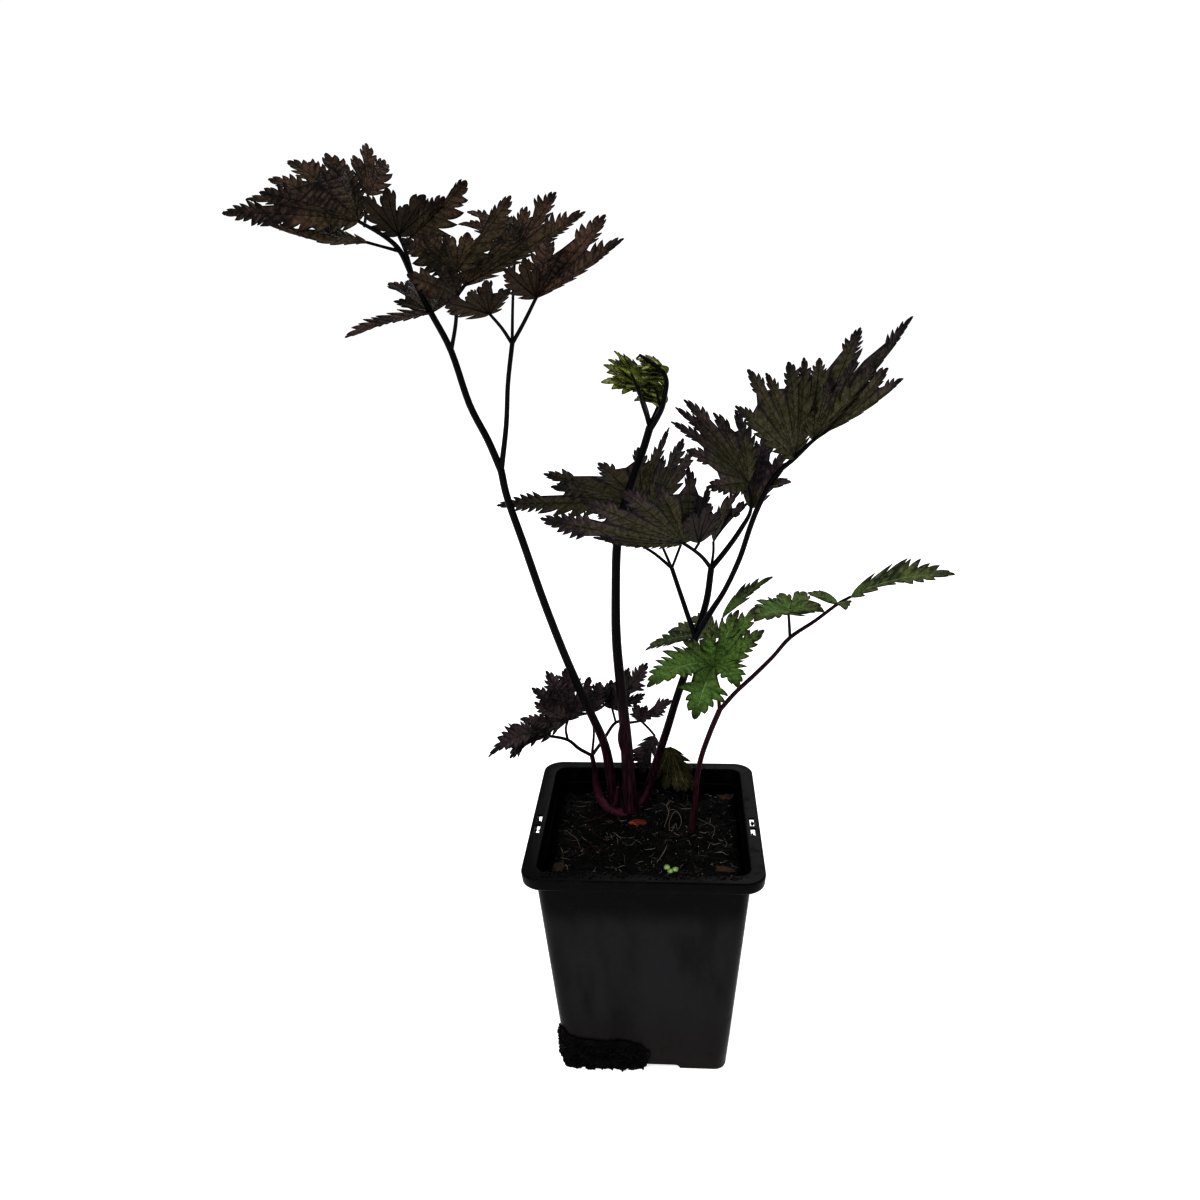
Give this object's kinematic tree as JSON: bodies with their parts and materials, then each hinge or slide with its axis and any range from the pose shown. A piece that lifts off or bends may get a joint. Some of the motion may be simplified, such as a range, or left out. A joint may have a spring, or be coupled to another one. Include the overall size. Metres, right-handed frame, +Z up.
{
  "type": "potted bugbane",
  "caption": "Square plastic nursery pot filled with compost, with bugbane standing in it: upright dark stalks that carry toothed, deeply cut leaflets.",
  "frame": {"origin": "centre of the pot's base, on the surface that the pot stands on", "axes": "+Z up; -Y is the side of the pot that the picture shows in front, with the tall leaf on the -X side and the widest leaf on the +X side"},
  "size_m": [0.278, 0.1214, 0.4252],
  "materials": {
    "black_polypropylene": "satin",
    "compost": "matte",
    "dark_leaf": "satin",
    "young_leaf": "satin",
    "green_leaf": "satin",
    "wilted_leaf": "matte",
    "bud_scale": "satin",
    "seedling_leaf": "satin",
    "bark": "matte"
  },
  "bodies": {
    "root": {"pot": "black_polypropylene", "soil": "compost", "frond_tall": "dark_leaf", "frond_opening": "young_leaf", "frond_right": "dark_leaf", "frond_green": "green_leaf", "frond_low": "dark_leaf", "wilted_leaf": "wilted_leaf", "bud": "bud_scale", "seedling": "seedling_leaf", "bark_chip_back": "bark", "bark_chip_left": "bark", "bark_chip_right": "bark", "stuck_compost": "compost"}
  },
  "joints": []
}
